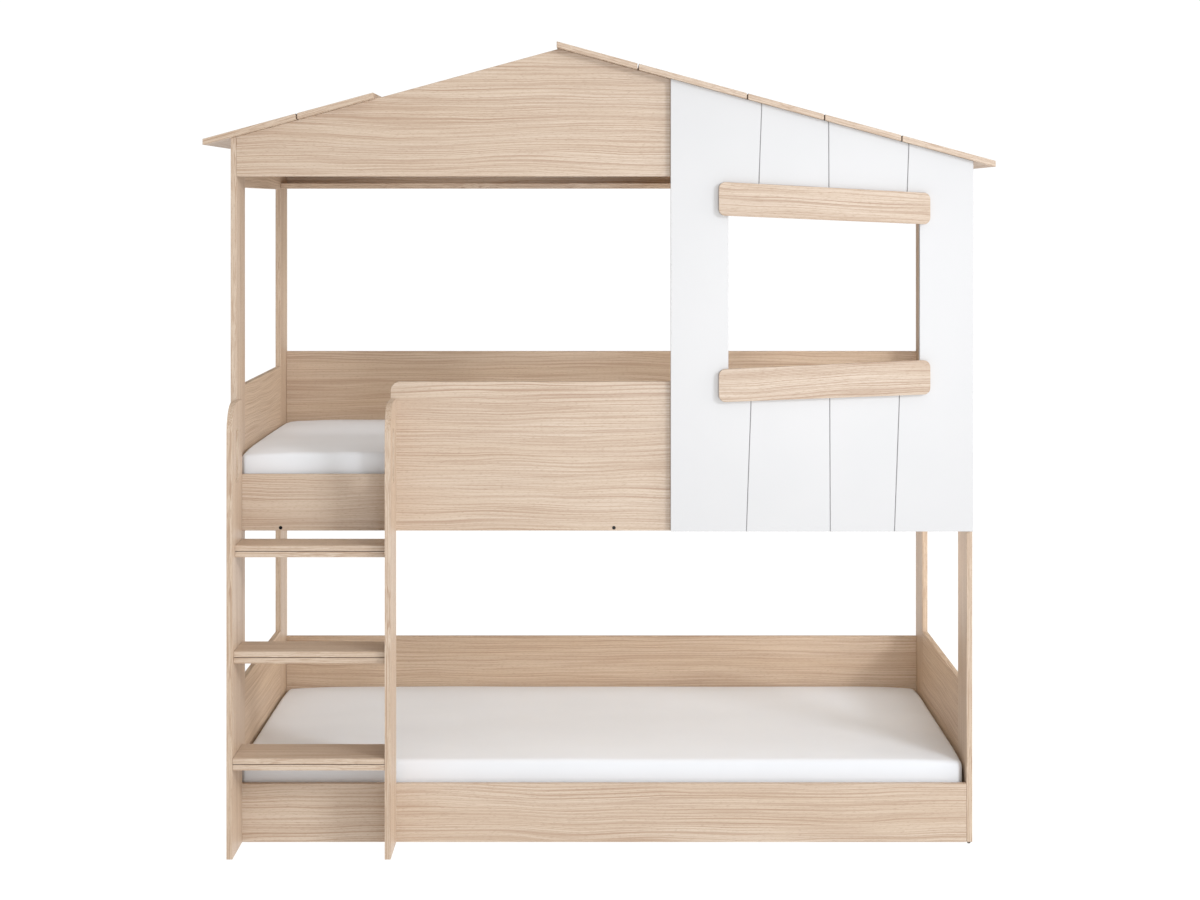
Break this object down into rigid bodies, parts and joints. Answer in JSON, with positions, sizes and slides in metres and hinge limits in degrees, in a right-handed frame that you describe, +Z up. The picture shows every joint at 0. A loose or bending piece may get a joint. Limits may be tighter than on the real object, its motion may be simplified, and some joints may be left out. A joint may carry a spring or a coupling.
{
  "type": "house bunk bed",
  "caption": "House-shaped bunk bed: two bunks between board end frames, an off-centre plank roof, a white front panel with a window, and a front ladder.",
  "frame": {"origin": "on the floor, under the middle of the whole object's plan", "axes": "+X along the bed to the right as seen from the ladder side, +Y from the ladder side to the back, +Z up"},
  "size_m": [2.1838, 1.14, 2.2196],
  "materials": {
    "oak_board": "satin",
    "white_lacquer": "satin",
    "pine": "matte",
    "mattress_fabric": "matte",
    "black_bolt": "satin",
    "glide_plastic": "matte"
  },
  "bodies": {
    "bed_frame": {"left_front_stile": "oak_board", "left_rear_stile": "oak_board", "left_top_rail": "oak_board", "left_upper_end_panel": "oak_board", "left_lower_end_panel": "oak_board", "right_front_stile": "oak_board", "right_rear_stile": "oak_board", "right_top_rail": "oak_board", "right_upper_end_panel": "oak_board", "right_lower_end_panel": "oak_board", "lower_front_rail": "oak_board", "upper_front_panel": "oak_board", "lower_back_panel": "oak_board", "upper_back_panel": "oak_board", "front_gable": "oak_board", "rear_gable": "oak_board", "rear_top_board": "oak_board", "roof_plank_left_1": "oak_board", "roof_plank_left_2": "oak_board", "roof_plank_right_1": "oak_board", "roof_plank_right_2": "oak_board", "roof_plank_right_3": "oak_board", "roof_plank_right_4": "oak_board", "roof_plank_right_5": "oak_board", "facade_panel": "white_lacquer", "window_head_board": "oak_board", "window_sill_board": "oak_board", "ladder_left_side": "oak_board", "ladder_right_side": "oak_board", "ladder_tread_1": "oak_board", "ladder_tread_2": "oak_board", "ladder_tread_3": "oak_board", "ladder_tread_base_1": "oak_board", "ladder_tread_base_2": "oak_board", "ladder_tread_base_3": "oak_board", "cross_board_1": "oak_board", "cross_board_2": "oak_board", "cross_board_3": "oak_board", "cross_bolt_1": "black_bolt", "cross_bolt_2": "black_bolt", "cross_bolt_3": "black_bolt", "lower_front_ledge": "pine", "lower_back_ledge": "pine", "upper_front_ledge": "pine", "upper_back_ledge": "pine", "lower_slat_roll": "pine", "upper_slat_roll": "pine", "glide_left_front": "glide_plastic", "glide_left_rear": "glide_plastic", "glide_right_front": "glide_plastic", "glide_right_rear": "glide_plastic", "glide_ladder_left": "glide_plastic", "glide_ladder_right": "glide_plastic"},
    "lower_mattress_body": {"lower_mattress": "mattress_fabric"},
    "upper_mattress_body": {"upper_mattress": "mattress_fabric"}
  },
  "joints": [
    {"name": "lower_mattress_lift", "type": "slide", "parent": "bed_frame", "child": "lower_mattress_body", "axis": [0, 0, 1], "range_m": [0, 0.2]},
    {"name": "upper_mattress_lift", "type": "slide", "parent": "bed_frame", "child": "upper_mattress_body", "axis": [0, 0, 1], "range_m": [0, 0.35]}
  ]
}
